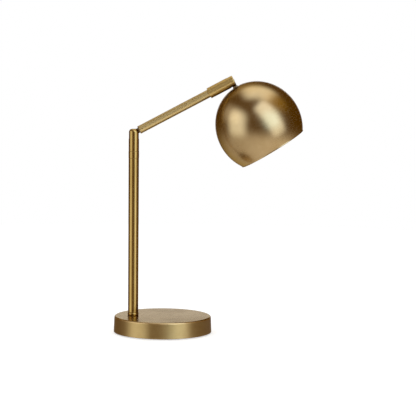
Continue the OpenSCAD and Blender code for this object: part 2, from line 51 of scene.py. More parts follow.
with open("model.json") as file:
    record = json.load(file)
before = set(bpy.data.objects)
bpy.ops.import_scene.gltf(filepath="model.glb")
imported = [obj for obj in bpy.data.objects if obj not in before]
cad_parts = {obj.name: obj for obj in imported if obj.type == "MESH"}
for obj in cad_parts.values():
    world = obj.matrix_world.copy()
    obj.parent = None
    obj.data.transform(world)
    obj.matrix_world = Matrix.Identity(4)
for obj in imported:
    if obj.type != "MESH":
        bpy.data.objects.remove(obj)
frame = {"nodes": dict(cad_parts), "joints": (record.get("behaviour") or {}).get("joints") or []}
NODES = frame["nodes"]
HINGES = {joint["name"]: np.array(joint["pos_m"], float) for joint in frame["joints"]}
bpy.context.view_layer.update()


# ---- where things are ----


class Axis:
    """A line to turn shapes about: its start, and its right, back and up directions."""

    def __init__(self, start, up):
        self.start = np.array(start, float)
        up = np.array(up, float) / np.linalg.norm(up)
        back = np.array((0.0, 1.0, 0.0) if abs(up[1]) < 0.8 else (0.0, 0.0, 1.0))
        back = back - up * (back @ up)
        back /= np.linalg.norm(back)
        self.turn = np.stack([np.cross(back, up), back, up], axis=1)

    def inside(self, points):
        """Points of the frame as right, back and up distances from the start."""
        return (points - self.start) @ self.turn

    def outside(self, points):
        """Right, back and up distances from the start as points of the frame."""
        return points @ self.turn.T + self.start

    def moved(self, distance):
        """The same line, started that far along it."""
        return Axis(self.start + self.turn[:, 2] * distance, self.turn[:, 2])

    def matrix(self):
        """The move that takes the frame's own axes to this line's."""
        placed = Matrix(self.turn.tolist()).to_4x4()
        placed.translation = self.start
        return placed


def corners(node):
    """All corner points of a CAD node."""
    mesh = NODES[node].data
    flat = np.empty(len(mesh.vertices) * 3, np.float32)
    mesh.vertices.foreach_get("co", flat)
    return flat.reshape(-1, 3).astype(float)


def reach(node, axis):
    """How far a CAD node starts and ends along an axis, and its largest radius about it."""
    local = axis.inside(corners(node))
    return local[:, 2].min(), local[:, 2].max(), np.hypot(local[:, 0], local[:, 1]).max()


def reach_at(node, axis, height):
    """The largest radius of a CAD node near a height along an axis."""
    local = axis.inside(corners(node))
    near = np.abs(local[:, 2] - height) < 0.0008
    return np.hypot(local[near, 0], local[near, 1]).max()


def middle(node):
    """The centre of a CAD node's box."""
    low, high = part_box(node)
    return (np.array(low) + np.array(high)) / 2


BASE = Axis((0, 0, 0), (0, 0, 1))
POLE = Axis((HINGES["head_swivel"][0], HINGES["head_swivel"][1], 0), (0, 0, 1))
ARM = Axis(HINGES["arm_tilt"], HINGES["shade_tilt"] - HINGES["arm_tilt"])
SHADE = Axis(HINGES["shade_tilt"], HINGES["shade_tilt"] - middle("centre_contact"))
SHADE = SHADE.moved(reach("dome_shade", SHADE)[0])
GLAND = Axis((0, 0, middle("cord_gland")[2]), middle("cord_gland") * (1, 1, 0))

BASE_RIM, BASE_TOP, BASE_R = reach("base_cover", BASE)
FOOT_R = reach("foot_bush", POLE)[2]
POLE_START, POLE_END, POLE_R = reach("pole_tube", POLE)
BAND_START, BAND_END, BAND_R = reach("swivel_collar", POLE)
HEAD_START, HEAD_END, HEAD_R = reach("lower_knuckle", POLE)
TUBE_START, TUBE_END, TUBE_R = reach("arm_tube", ARM)
SLEEVE_START, SLEEVE_END, SLEEVE_R = reach("shade_knuckle", ARM)
DOME_TOP, DOME_R = reach("dome_shade", SHADE)[1:]
HOLDER_START, HOLDER_END, HOLDER_R = reach("lampholder", SHADE)
GLASS_START, GLASS_END, GLASS_R = reach("bulb_glass", SHADE)
GLAND_START, GLAND_END, GLAND_R = reach("cord_gland", GLAND)
GLAND_NECK = reach_at("cord_gland", GLAND, GLAND_START)
ROD_R = reach("base_rod", POLE)[2]
BOLT_R = reach("swivel_bolt", POLE)[2]
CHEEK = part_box("arm_friction_back")[1].y

# Walls, bores and gaps that don't show, as the solids have them
TUBE_WALL = 0.001  # the pole's and the arm's tube
THREAD_GAP = 0.00005  # round a thread, and round the arm's tube in its sleeve
BEARING_GAP = 0.00006  # round the bolt that the head turns on
ROD_HOLE_GAP = 0.0003  # round the rod, in the base's cover
STEM_HOLE = 0.00405  # for the shade's stem, in the dome and the lampholder
STEM_DEPTH, HOLDER_WIRE = 0.008, 0.0015  # that hole's depth in the lampholder, and the wire's on from it
CAP_WALL, CAP_DEPTH = 0.00055, 0.005  # the bulb's cap round its glass
FAR_CHEEK = 0.0016  # what a pivot screw's bore leaves of the far cheek
SCREW_SEAT = 0.0031  # depth of a pivot screw's head
ARM_SCREW, ARM_SCREW_HEAD, ARM_WIRE = 0.00205, 0.00365, 0.0022  # radii in the pole's knuckle
ARM_SLOT, ARM_WIRE_END = 0.009, 0.0205  # its slot's depth from the pivot, its wire bore's length
SHADE_SCREW, SHADE_SCREW_HEAD, SHADE_WIRE = 0.00155, 0.0029, 0.003  # radii in the arm's knuckle
SHADE_SLOT, SHADE_WIRE_END = 0.0058, 0.0048  # its slot's depth and its wire bore's end from the pivot

# Offsets that keep a cut face off a face that it would otherwise lie on
SEAT_LIFT = 0.00004
SLOT_PLAY = 0.00003
SHORT_OF_WALL = 0.002

# How far cutting tools reach past a piece, lengthwise and sideways
PAST, BLADE = 0.01, 0.02


# ---- profiles ----

# Points along the dome's wall, its bead, the bulb's ball and its neck, and facets round small pieces
WALL_STEPS, BEAD_STEPS, BALL_STEPS, NECK_STEPS = 84, 22, 64, 18
SMALL_SIDES, GLAND_SIDES, TOOL_SIDES = 128, 96, 48


def rounded(points, radii, steps=6):
    """A profile with its corners rounded. An arc's points are its centre plus the radius times the cosine
    and sine of angles spread evenly between its two tangent points, and one more point lies a quarter of
    the arc's run past each end, so that the flats stay flat when shaded."""
    points = np.array(points, float)
    line = []
    for i, (corner, r) in enumerate(zip(points, radii)):
        if r <= 0:
            line.append(corner[None])
            continue
        to_last = points[i - 1] - corner
        to_next = points[(i + 1) % len(points)] - corner
        to_last, to_next = to_last / np.linalg.norm(to_last), to_next / np.linalg.norm(to_next)
        half = math.acos(np.clip(to_last @ to_next, -1, 1)) / 2
        run = r / math.tan(half)
        inward = (to_last + to_next) / np.linalg.norm(to_last + to_next)
        centre = corner + inward * r / math.sin(half)
        turn = np.linspace(half - math.pi / 2, math.pi / 2 - half, steps + 1)
        side = np.array((-inward[1], inward[0]))
        side = side if side @ to_next > 0 else -side
        arc = centre - r * np.cos(turn)[:, None] * inward + r * np.sin(turn)[:, None] * side
        line += [(corner + to_last * run * 1.25)[None], arc, (corner + to_next * run * 1.25)[None]]
    return np.concatenate(line)


def arc_points(centre, r, start, end, steps):
    """Centre plus r times the cosine and sine of angles from start to end, in degrees."""
    turn = np.radians(np.linspace(start, end, steps))
    return np.array(centre) + r * np.stack([np.cos(turn), np.sin(turn)], axis=1)


# ---- surfaces ----

SHARP = math.radians(32)  # edges sharper than this stay sharp when shaded
WELD, FLAT = 4e-6, math.radians(0.3)  # what counts as one point and as one flat after a cut


def turned(name, axis, profile, sides, closed=True, zones=None, finishes=(), first=0.0):
    """A surface of revolution. The grid point for turn t and profile point (radius, height) is
    (radius cos t, radius sin t, height) in the axis's own directions, for even steps of t from the first.
    The grid closes round the axis and, where the profile is a loop, along the profile too. The zones give
    each span of the profile the number of its finish."""
    profile = np.array(profile, float)
    turn = np.arange(sides) * 2 * math.pi / sides + first
    grid = np.stack([
        np.cos(turn)[:, None] * profile[:, 0],
        np.sin(turn)[:, None] * profile[:, 0],
        np.broadcast_to(profile[:, 1], (sides, len(profile))),
    ], axis=2)
    spans = len(profile) if closed else len(profile) - 1
    i, j = np.meshgrid(np.arange(sides), np.arange(spans), indexing="ij")
    after, beside = (i + 1) % sides, (j + 1) % len(profile)
    n = len(profile)
    quads = np.stack([i * n + j, after * n + j, after * n + beside, i * n + beside], axis=2)
    mesh = bpy.data.meshes.new(name)
    mesh.from_pydata(axis.outside(grid.reshape(-1, 3)).tolist(), [], quads.reshape(-1, 4).tolist())
    if zones is not None:
        mesh.polygons.foreach_set("material_index", np.tile(np.array(zones, np.int32)[:spans], sides))
    return finished(name, mesh, finishes)


def finished(name, mesh, finishes):
    """The object of a mesh: poles and seams merged, faces outwards, smooth but for its sharp edges."""
    work = bmesh.new()
    work.from_mesh(mesh)
    bmesh.ops.remove_doubles(work, verts=work.verts, dist=1e-7)
    if work.calc_volume(signed=True) < 0:
        bmesh.ops.reverse_faces(work, faces=work.faces)
    work.to_mesh(mesh)
    work.free()
    mesh.shade_smooth()
    mesh.set_sharp_from_angle(angle=SHARP)
    for finish in finishes:
        mesh.materials.append(finish)
    piece = bpy.data.objects.new(name, mesh)
    bpy.context.scene.collection.objects.link(piece)
    return piece


def cut(piece, *tools):
    """The piece with the tools' shapes taken out of it. Slivers are merged, flats made whole, and a live
    modifier weights the normals by area, so that the flats beside a rounding stay flat when shaded."""
    for tool in tools:
        step = piece.modifiers.new("cut", "BOOLEAN")
        step.operation, step.solver, step.object = "DIFFERENCE", "EXACT", tool
    depsgraph = bpy.context.evaluated_depsgraph_get()
    mesh = bpy.data.meshes.new_from_object(piece.evaluated_get(depsgraph))
    if not mesh.polygons:
        raise RuntimeError(f"nothing is left of {piece.name} after its cuts")
    piece.modifiers.clear()
    piece.data = mesh
    work = bmesh.new()
    work.from_mesh(mesh)
    bmesh.ops.remove_doubles(work, verts=work.verts, dist=WELD)
    bmesh.ops.dissolve_degenerate(work, edges=work.edges, dist=WELD)
    bmesh.ops.dissolve_limit(work, verts=work.verts, edges=work.edges, angle_limit=FLAT,
                             delimit={"MATERIAL"})
    bmesh.ops.triangulate(work, faces=[face for face in work.faces if len(face.verts) > 4])
    work.to_mesh(mesh)
    work.free()
    mesh.shade_smooth()
    mesh.set_sharp_from_angle(angle=SHARP)
    even = piece.modifiers.new("even", "WEIGHTED_NORMAL")
    even.keep_sharp = True
    for tool in tools:
        bpy.data.objects.remove(tool)
    return piece


def bar(axis, r, start, end):
    """A plain round cutting tool, turned a little so that its edges miss the piece's own."""
    return turned("tool", axis, [(0, start), (r, start), (r, end), (0, end)], TOOL_SIDES,
                  closed=False, first=0.02)


def block(axis, low, high):
    """A square cutting tool between two corners, given as right, back and up distances."""
    low, high = np.array(low, float), np.array(high, float)
    pick = np.array([[x, y, z] for x in (0, 1) for y in (0, 1) for z in (0, 1)])
    mesh = bpy.data.meshes.new("tool")
    faces = [(0, 1, 3, 2), (4, 6, 7, 5), (0, 4, 5, 1), (2, 3, 7, 6), (0, 2, 6, 4), (1, 5, 7, 3)]
    mesh.from_pydata(axis.outside(low + pick * (high - low)).tolist(), [], faces)
    return finished("tool", mesh, ())


# ---- shader arithmetic ----


class Wire:
    """A shader value that adds, multiplies and compares like a number."""

    def __init__(self, paint, socket):
        self.paint, self.socket = paint, socket

    def maths(self, operation, *values):
        """The value of a Math node with these inputs."""
        node = self.paint.node("ShaderNodeMath", {"operation": operation}, dict(enumerate(values)))
        return Wire(self.paint, node.outputs[0])

    def __add__(self, other):
        return self.maths("ADD", self, other)

    def __mul__(self, other):
        return self.maths("MULTIPLY", self, other)

    def __sub__(self, other):
        return self.maths("SUBTRACT", self, other)

    def __rsub__(self, other):
        return self.maths("SUBTRACT", other, self)

    def __truediv__(self, other):
        return self.maths("DIVIDE", self, other)

    __radd__, __rmul__ = __add__, __mul__

    def root(self):
        return self.maths("SQRT", self)

    def size(self):
        return self.maths("ABSOLUTE", self)

    def highest(self, other):
        return self.maths("MAXIMUM", self, other)

    def step(self, low, high):
        """0 up to low and 1 from high on, with a smooth ramp between."""
        node = self.paint.node(
            "ShaderNodeMapRange",
            {"interpolation_type": "SMOOTHSTEP"},
            {"Value": self, "From Min": low, "From Max": high},
        )
        return Wire(self.paint, node.outputs["Result"])


class Paint:
    """The nodes of one material or of the world."""

    def __init__(self, owner):
        owner.use_nodes = True
        self.owner, self.tree = owner, owner.node_tree
        self.tree.nodes.clear()

    def node(self, kind, settings=None, values=None):
        """A node of a kind, with its settings made first and then its sockets fed."""
        made = self.tree.nodes.new(kind)
        for name, value in (settings or {}).items():
            setattr(made, name, value)
        for name, value in (values or {}).items():
            if isinstance(value, Wire):
                self.tree.links.new(value.socket, made.inputs[name])
            else:
                made.inputs[name].default_value = value
        return made

    def local(self, axis):
        """A point's right, back and up distances along an axis, as one vector."""
        point = self.node("ShaderNodeTexCoord").outputs["Object"]
        turned_back = self.node(
            "ShaderNodeMapping",
            {"vector_type": "TEXTURE"},
            {"Vector": Wire(self, point), "Location": axis.start, "Rotation": axis.matrix().to_euler()},
        )
        return Wire(self, turned_back.outputs[0])

    def parts(self, vector):
        """The three parts of a vector as values."""
        split = self.node("ShaderNodeSeparateXYZ", None, {0: vector})
        return [Wire(self, out) for out in split.outputs]

    def join(self, x, y, z):
        """Three values as one vector."""
        return Wire(self, self.node("ShaderNodeCombineXYZ", None, {0: x, 1: y, 2: z}).outputs[0])

    def noise(self, vector, scale, detail=2.0, rough=0.5):
        """Smooth random values from 0 to 1, with that many waves to the metre."""
        values = {"Vector": vector, "Scale": scale, "Detail": detail, "Roughness": rough}
        return Wire(self, self.node("ShaderNodeTexNoise", None, values).outputs["Fac"])

    def mix(self, share, low, high, blend="MIX"):
        """The colour low where share is 0, and high, or the blend of both, where it is 1."""
        made = self.node("ShaderNodeMix", {"data_type": "RGBA", "blend_type": blend},
                         {0: share, 6: low, 7: high})
        return Wire(self, made.outputs[2])

    def tint(self, colour, strength):
        """A colour times a value."""
        scaled = self.node("ShaderNodeVectorMath", {"operation": "SCALE"}, {0: colour, "Scale": strength})
        return Wire(self, scaled.outputs[0])

    def sum(self, one, other):
        """Two colours added."""
        added = self.node("ShaderNodeVectorMath", {"operation": "ADD"}, {0: one, 1: other})
        return Wire(self, added.outputs[0])

    def bump(self, height, distance):
        """The normal of a surface raised by the distance where the height is 1."""
        values = {"Height": height, "Distance": distance}
        return Wire(self, self.node("ShaderNodeBump", None, values).outputs[0])

    def rays(self, *kinds):
        """For each kind of ray, such as Camera or Glossy, 1 on such rays and 0 on others."""
        path = self.node("ShaderNodeLightPath")
        return [Wire(self, path.outputs[f"Is {kind} Ray"]) for kind in kinds]

    def surface(self, **values):
        """The finished material: a Principled BSDF with these sockets."""
        named = {name.replace("_", " "): value for name, value in values.items()}
        shader = self.node("ShaderNodeBsdfPrincipled", None, named)
        self.node("ShaderNodeOutputMaterial", None, {"Surface": Wire(self, shader.outputs[0])})
        return self.owner


def rgba(colour, level=1.0):
    """A colour times a level, or times three levels for its red, green and blue, with no part over 1."""
    level = (level,) * 3 if isinstance(level, float) else level
    return (*(min(part * share, 1.0) for part, share in zip(colour, level)), 1.0)


# ---- finishes ----

FINE_LINES, BROAD_LINES = 3400, 700  # brush lines to the metre, across the brushing
FINE_RUN, BROAD_RUN = 60, 25  # and along it
LINE_DEPTH = 0.000004


def satin_brass(name, axis, tone, rough, lines=1.0, lacquer=0.04, pull=0.0, under=0.0, painted_highlight_band=None,
                grazing=(0.7, 0.58, 0.35)):
    """Antique brass plating, brushed round its axis under a thin clear lacquer. The brush lines are noise
    stretched along the turn: it changes quickly with height minus radius, which runs over walls and flats
    alike, and slowly round the axis. Slow blotches darken the tone and roughen it where it has aged.

    lines and pull say how strong the brush lines are and how far they stretch a highlight. On a level
    tube, under is its radius, and the side that faces down is darkened: painted shade. A band of heights,
    if given, is where an edge is painted lighter and bluer: a painted highlight for the bright line that the
    edge mirrors. Grazing is the tint of the light at a flat angle."""
    paint = Paint(bpy.data.materials.new(name))
    spot = paint.local(axis)
    x, y, z = paint.parts(spot)
    run = z - (x * x + y * y).root() * 0.9
    fine = paint.noise(paint.join(x * FINE_RUN, y * FINE_RUN, run * FINE_LINES), 1.0)
    broad = paint.noise(paint.join(x * BROAD_RUN, y * BROAD_RUN, run * BROAD_LINES), 1.0)
    blotch = paint.noise(spot, 34.0, 3.0, 0.6)
    cloud = paint.noise(spot, 9.0, 1.0)
    aged = (blotch * 0.6 + cloud * 0.6 - 0.35).step(0.05, 0.6)
    patina_and_painted_light = paint.mix(aged, rgba(tone, 1.08), rgba(tone, (0.86, 0.81, 0.7)))
    # painted shade: the side of a level tube that faces down is darkened towards the bottom
    if under:
        patina_and_painted_light = paint.mix((x / under).step(0.35, 0.8), patina_and_painted_light, rgba(tone, (0.42, 0.36, 0.25)))
    # painted highlight: between the given heights the edge is made lighter and bluer, for the bright line
    # that it mirrors
    if painted_highlight_band:
        patina_and_painted_light = paint.mix(z.step(*painted_highlight_band), patina_and_painted_light, rgba(tone, (1.6, 1.6, 1.8)))
    brushed = fine * 0.5 + broad * 0.5
    streaks = paint.mix(brushed.step(0.25, 0.75), rgba((0.9, 0.89, 0.87)), rgba((1, 1, 1)))
    gloss = rough + (broad - 0.5) * 0.1 * lines + aged * 0.05 + (fine - 0.5) * 0.08 * lines
    return paint.surface(
        Base_Color=paint.mix(0.8 * lines, patina_and_painted_light, streaks, "MULTIPLY"), Metallic=1.0, Roughness=gloss,
        Normal=paint.bump(brushed, LINE_DEPTH * lines),
        Coat_Weight=lacquer, Coat_Roughness=0.18, Coat_IOR=1.45,
        Anisotropic=pull, Anisotropic_Rotation=0.25, Specular_Tint=rgba(grazing),
    )


def white_enamel(name, tone):
    """Sprayed white enamel: an even colour with a very low, broad ripple and a soft gloss."""
    paint = Paint(bpy.data.materials.new(name))
    spot = paint.local(SHADE)
    ripple = paint.noise(spot, 700.0, 2.0)
    dust = paint.noise(spot, 60.0, 3.0)
    colour = paint.mix(dust.step(0.3, 0.8), rgba(tone), rgba(tone, 0.95))
    return paint.surface(
        Base_Color=colour, Roughness=0.34 + (dust - 0.5) * 0.12,
        Normal=paint.bump(ripple, 0.00002), Coat_Weight=0.2, Coat_Roughness=0.2,
    )


def glazed_porcelain(name, tone):
    """White porcelain under a clear glaze, with faint specks."""
    paint = Paint(bpy.data.materials.new(name))
    spot = paint.local(SHADE)
    speck = paint.noise(spot, 900.0, 1.0).step(0.68, 0.76)
    wave = paint.noise(spot, 120.0, 2.0)
    colour = paint.mix(speck * 0.5, rgba(tone), rgba((0.55, 0.52, 0.46)))
    return paint.surface(
        Base_Color=colour, Roughness=0.4 + (wave - 0.5) * 0.1,
        Normal=paint.bump(wave, 0.00004), Coat_Weight=0.8, Coat_Roughness=0.08,
    )


def opal_glass(name, tone):
    """Opal bulb glass: milky white with a clear glossy skin and a faint cloudiness."""
    paint = Paint(bpy.data.materials.new(name))
    spot = paint.local(SHADE)
    cloud = paint.noise(spot, 70.0, 2.0)
    colour = paint.mix(cloud.step(0.3, 0.7), rgba(tone), rgba(tone, 0.96))
    return paint.surface(
        Base_Color=colour, Roughness=0.3 + (cloud - 0.5) * 0.08, Subsurface_Weight=0.15,
        Coat_Weight=0.7, Coat_Roughness=0.05,
    )


def dull_steel(name, tone, rough, grain):
    """Plated or plain steel with a fine spangle and a few darker stains."""
    paint = Paint(bpy.data.materials.new(name))
    spot = paint.local(POLE)
    spangle = paint.noise(spot, grain, 3.0)
    stain = paint.noise(spot, grain / 8, 2.0)
    colour = paint.mix(stain.step(0.35, 0.75), rgba(tone), rgba(tone, 0.75))
    return paint.surface(
        Base_Color=colour, Metallic=1.0, Roughness=rough + (spangle - 0.5) * 0.2,
        Normal=paint.bump(spangle, 0.00001),
    )


def cast_iron(name, tone):
    """Rough sand-cast iron: bumps of two sizes and rusty hollows."""
    paint = Paint(bpy.data.materials.new(name))
    spot = paint.local(BASE)
    coarse = paint.noise(spot, 260.0, 4.0, 0.65)
    rust = paint.noise(spot, 45.0, 3.0).step(0.5, 0.75)
    colour = paint.mix(rust * 0.6, rgba(tone), rgba((0.16, 0.07, 0.03)))
    return paint.surface(
        Base_Color=colour, Metallic=1.0 - rust * 0.7, Roughness=0.6 + (coarse - 0.5) * 0.3,
        Normal=paint.bump(coarse, 0.0004),
    )


def foam_rubber(name, tone, scale, depth):
    """Matt black rubber or foam: small closed pores and a slight greying."""
    paint = Paint(bpy.data.materials.new(name))
    spot = paint.local(BASE)
    pores = paint.noise(spot, scale, 2.0, 0.7)
    grey = paint.noise(spot, scale / 30, 3.0)
    colour = paint.mix(grey.step(0.35, 0.7), rgba(tone), rgba(tone, 1.8))
    return paint.surface(
        Base_Color=colour, Roughness=0.75 + (pores - 0.5) * 0.3, Normal=paint.bump(pores, depth),
    )


# ---- sizes and colours that can be changed ----


def a_length(name, description, default, low, high):
    """A length in metres, with its limits."""
    return FloatProperty(name=name, description=description, default=default, min=low, max=high,
                         unit="LENGTH", subtype="DISTANCE")


def a_colour(name, description, default):
    """A colour, as its linear red, green and blue."""
    return FloatVectorProperty(name=name, description=description, subtype="COLOR", default=default,
                               min=0, max=1)


class LampSizes(bpy.types.PropertyGroup):
    """Edge sizes of the pieces and how finely they are turned."""

    sides: IntProperty(
        name="Sides", description="Facets round each turned piece", default=224, min=48, max=512)
    wall_lean: a_length(
        "Wall lean", "How far the base's side wall leans in over its height", 0.0009, 0, 0.002)
    top_edge: a_length("Top edge", "Rounding of the base's top edge", 0.0024, 0.0005, 0.004)
    foot_edge: a_length("Foot edge", "Rounding of the foot ring's edges", 0.0014, 0.0002, 0.002)
    cover_sheet: a_length("Cover sheet", "Sheet thickness of the base cover", 0.0012, 0.0006, 0.003)
    fine_edge: a_length("Fine edge", "Rounding of edges that look sharp", 0.00035, 0.0001, 0.001)
    shade_sheet: a_length("Shade sheet", "Sheet thickness of the dome", 0.0008, 0.0005, 0.002)
    rim_bead: a_length("Rim bead", "Radius of the rolled bead at the dome's rim", 0.0009, 0.0006, 0.002)
    belly: a_length("Belly", "Height of the dome's widest ring above its rim", 0.0412, 0.03, 0.06)
    crown: a_length("Crown", "Half height of the ellipse that the dome follows", 0.0705, 0.06, 0.09)
    head_round: a_length("Knuckle top", "Rounding of the top of the pole's knuckle", 0.0046, 0.001, 0.007)
    sleeve_round: a_length(
        "Sleeve end", "Rounding of the far end of the arm's knuckle", 0.0012, 0.0002, 0.004)
    glass: a_length("Glass", "Thickness of the bulb's glass", 0.0008, 0.0004, 0.002)


class LampColours(bpy.types.PropertyGroup):
    """Colours and gloss of the finishes."""

    brass: a_colour("Brass", "Colour of the dome, the base's top and the screws", (0.43, 0.3, 0.135))
    base_wall: a_colour("Base wall", "Colour of the brushed side wall", (0.41, 0.275, 0.1))
    pole: a_colour("Pole", "Colour of the pole and its knuckle", (0.365, 0.224, 0.059))
    arm: a_colour("Arm", "Colour of the arm's tube", (0.6, 0.435, 0.17))
    sleeve: a_colour("Sleeve", "Colour of the knuckle at the arm's end", (0.66, 0.46, 0.15))
    # painted shade: the darker brass that the tongue and the shade's stem get for the shade they sit in
    tongue: a_colour("Tongue", "Colour of the darker milled brass", (0.26, 0.18, 0.085))
    bolt: a_colour("Bolt", "Colour of the threaded brass inside", (0.5, 0.38, 0.2))
    contact: a_colour("Contact", "Colour of the bare brass contacts", (0.62, 0.48, 0.25))
    enamel: a_colour("Enamel", "Colour inside the shade", (0.8, 0.79, 0.75))
    porcelain: a_colour("Porcelain", "Colour of the lampholder", (0.8, 0.79, 0.74))
    opal: a_colour("Opal", "Colour of the bulb's glass", (0.86, 0.86, 0.83))
    zinc: a_colour("Zinc", "Colour of the plated nuts and washers", (0.62, 0.62, 0.6))
    spring: a_colour("Spring", "Colour of the spring washer", (0.4, 0.4, 0.41))
    cap: a_colour("Bulb cap", "Colour of the bulb's screw cap", (0.72, 0.72, 0.7))
    iron: a_colour("Iron", "Colour of the cast disc", (0.2, 0.19, 0.18))
    rubber: a_colour("Rubber", "Colour of the cord gland", (0.025, 0.025, 0.026))
    foam: a_colour("Foam", "Colour of the pad under the base", (0.022, 0.022, 0.023))
    fibre: a_colour("Fibre", "Colour of the friction washers", (0.03, 0.028, 0.026))
    brass_rough: FloatProperty(
        name="Brass roughness", description="Roughness of the dome and the base's top", subtype="FACTOR",
        default=0.235, min=0.05, max=0.8)


class LampStudio(bpy.types.PropertyGroup):
    """Light and camera."""

    level: FloatProperty(
        name="Level", description="Even light on dull surfaces", default=0.85, min=0, max=3)
    room: a_colour("Room", "Faint light that metal mirrors between the panels", (0.165, 0.088, 0.004))
    floor: a_colour("Floor light", "Light that metal mirrors from below", (0.78, 0.84, 1.0))
    camera_start: FloatVectorProperty(
        name="Camera", description="Where the camera stands", subtype="XYZ", unit="LENGTH",
        default=(0.06937, -3.120, 0.52064))
    camera_down: FloatProperty(
        name="Look down", description="How far the camera looks down", unit="ROTATION", subtype="ANGLE",
        default=math.radians(5.951))
    camera_roll: FloatProperty(
        name="Roll", description="Roll of the camera", unit="ROTATION", subtype="ANGLE",
        default=math.radians(0.468))
    lens: FloatProperty(name="Lens", description="Focal length in millimetres", default=174.95)


# ---- operators ----


class MakeBase(bpy.types.Operator):
    """The pressed cover of the base, with a drafted wall and rounded rims"""

    bl_idname = "desk_lamp.make_base"
    bl_label = "Base cover"

    def execute(self, context):
        sizes, colours = context.scene.lamp_sizes, context.scene.lamp_colours
        t, wall, edge = sizes.cover_sheet, BASE_R - sizes.wall_lean, sizes.top_edge
        profile = rounded(
            [(0, BASE_TOP), (wall, BASE_TOP), (BASE_R, BASE_RIM), (BASE_R - t, BASE_RIM),
             (wall - t, BASE_TOP - t), (0, BASE_TOP - t)],
            [0, edge, t * 0.45, t * 0.45, edge / 2, 0], 8)
        # rings across the flat top, in place of one fan of long thin triangles
        rings = np.linspace(0, profile[1, 0], 14)[1:-1]
        flat = np.stack([rings, np.full_like(rings, BASE_TOP)], axis=1)
        profile = np.concatenate([profile[:1], flat, profile[1:]])
        upright = np.abs(np.gradient(profile[:, 1])) > np.abs(np.gradient(profile[:, 0]))
        top = satin_brass("satin_base_top", BASE, colours.brass, colours.brass_rough, lines=1.2)
        # the wall carries a painted highlight along the top edge's rounding
        side = satin_brass("brushed_base_side", BASE, colours.base_wall, rough=0.37, lines=1.2, pull=0.75,
                           grazing=(1.0, 0.98, 0.92), painted_highlight_band=(BASE_TOP - edge * 1.2, BASE_TOP - edge * 0.6))
        piece = turned("base_skin", BASE, profile, sizes.sides, closed=False,
                       zones=upright.astype(np.int32), finishes=[top, side])
        cut(piece, bar(POLE, ROD_R + ROD_HOLE_GAP, BASE_TOP - PAST, BASE_TOP + PAST),
            bar(GLAND, GLAND_NECK + THREAD_GAP, BASE_R - PAST, BASE_R + PAST))
        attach(piece, "base")
        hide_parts("base_cover")
        return {"FINISHED"}


class MakeGland(bpy.types.Operator):
    """The cord gland on the back of the base, a rubber ring with a rounded flange"""

    bl_idname = "desk_lamp.make_gland"
    bl_label = "Cord gland"

    def execute(self, context):
        local = GLAND.inside(corners("cord_gland"))
        bore = np.hypot(local[:, 0], local[:, 1]).min()
        profile = rounded(
            [(bore, GLAND_START), (GLAND_NECK, GLAND_START), (GLAND_NECK, BASE_R), (GLAND_R, BASE_R),
             (GLAND_R, GLAND_END), (bore, GLAND_END)],
            [0.0004, 0.0008, 0.0002, 0.0002, 0.0007, 0.0006], 5)
        rubber = foam_rubber("gland_rubber", context.scene.lamp_colours.rubber, scale=1500.0, depth=0.00002)
        piece = turned("gland_ring", GLAND, profile, GLAND_SIDES, finishes=[rubber])
        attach(piece, "base")
        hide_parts("cord_gland")
        return {"FINISHED"}


class MakePole(bpy.types.Operator):
    """The pole's foot ring, tube and top band"""

    bl_idname = "desk_lamp.make_pole"
    bl_label = "Pole"

    def execute(self, context):
        sizes, colours = context.scene.lamp_sizes, context.scene.lamp_colours
        fine, bore = sizes.fine_edge, POLE_R - TUBE_WALL
        rod, bolt = ROD_R + THREAD_GAP, BOLT_R + BEARING_GAP
        foot_start, foot_end = reach("foot_bush", POLE)[:2]
        foot = rounded(
            [(rod, foot_start), (FOOT_R, foot_start), (FOOT_R, POLE_START), (bore, POLE_START),
             (bore, foot_end), (rod, foot_end)],
            [0, sizes.foot_edge, sizes.foot_edge, 0, fine, 0], 8)
        tube = rounded(
            [(bore, POLE_START), (POLE_R, POLE_START), (POLE_R, POLE_END), (bore, POLE_END)],
            [0, fine, fine, 0], 4)
        band = rounded(
            [(bolt, BAND_START), (bore, BAND_START), (bore, POLE_END), (BAND_R, POLE_END),
             (BAND_R, BAND_END), (bolt, BAND_END)],
            [0, fine, 0, fine, fine, 0], 4)
        brass = satin_brass("satin_pole", POLE, colours.pole, rough=0.2, lines=0.3, lacquer=0.0, pull=0.3)
        for name, profile, node, slot in (
            ("foot_ring", foot, "foot_bush", "brass_turned"),
            ("pole", tube, "pole_tube", "brass_tube"),
            ("top_band", band, "swivel_collar", "brass_turned"),
        ):
            piece = turned(name, POLE, profile, sizes.sides, finishes=[brass])
            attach(piece, "base")
            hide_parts(node)
        return {"FINISHED"}


def pivot_holes(hinge, r, screw_r, screw_head):
    """The cutting tools for the pivot screw of a knuckle of radius r: a bore that ends inside the far
    cheek, and the seat of the screw's head in the near one."""
    pivot = Axis(HINGES[hinge], (0, 1, 0))
    return (bar(pivot, screw_r, FAR_CHEEK - r, r - SHORT_OF_WALL),
            bar(pivot, screw_head, r - SCREW_SEAT, r + PAST))


